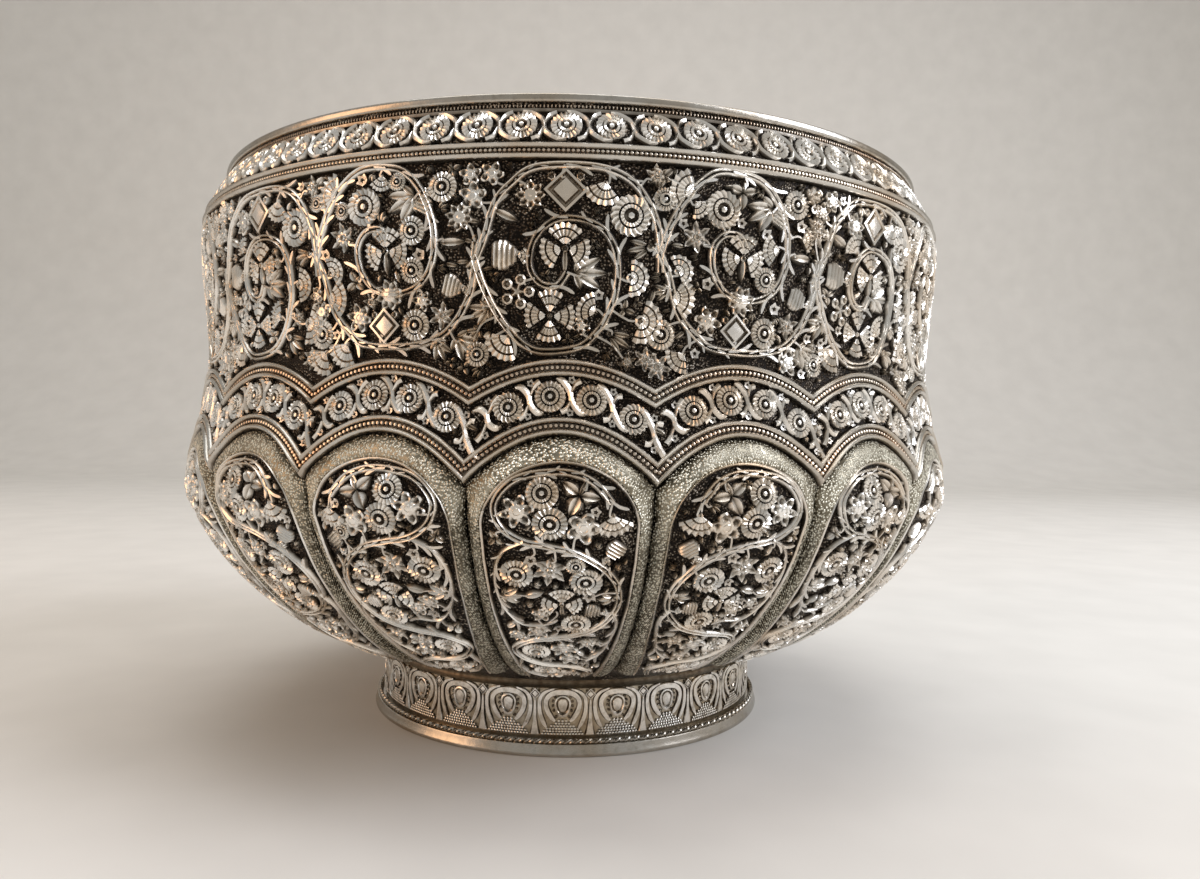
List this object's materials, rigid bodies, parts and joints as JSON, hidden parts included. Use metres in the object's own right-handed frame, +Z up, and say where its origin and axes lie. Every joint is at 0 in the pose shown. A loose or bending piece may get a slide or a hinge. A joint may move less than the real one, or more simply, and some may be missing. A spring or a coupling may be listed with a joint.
{
  "type": "footed bowl",
  "caption": "Round footed silver bowl with a lobed belly, arched bands and a chased frieze under a plain lip.",
  "frame": {"origin": "on the bowl's axis, in the plane that the foot stands on", "axes": "+Z up along the bowl's axis; -Y points at the middle of a lobe"},
  "size_m": [0.1512, 0.1512, 0.1024],
  "materials": {
    "chased_silver": "silver sheet, chased and oxidised dark in its ground",
    "plain_silver": "silver wire, worn bright",
    "toned_silver": "silver strip, chased and toned yellowish"
  },
  "bodies": {
    "root": {"bowl_wall": "chased_silver", "lip_wire": "plain_silver", "foot_wall": "toned_silver", "foot_base_wire": "plain_silver", "foot_twisted_wire": "plain_silver"}
  },
  "joints": []
}
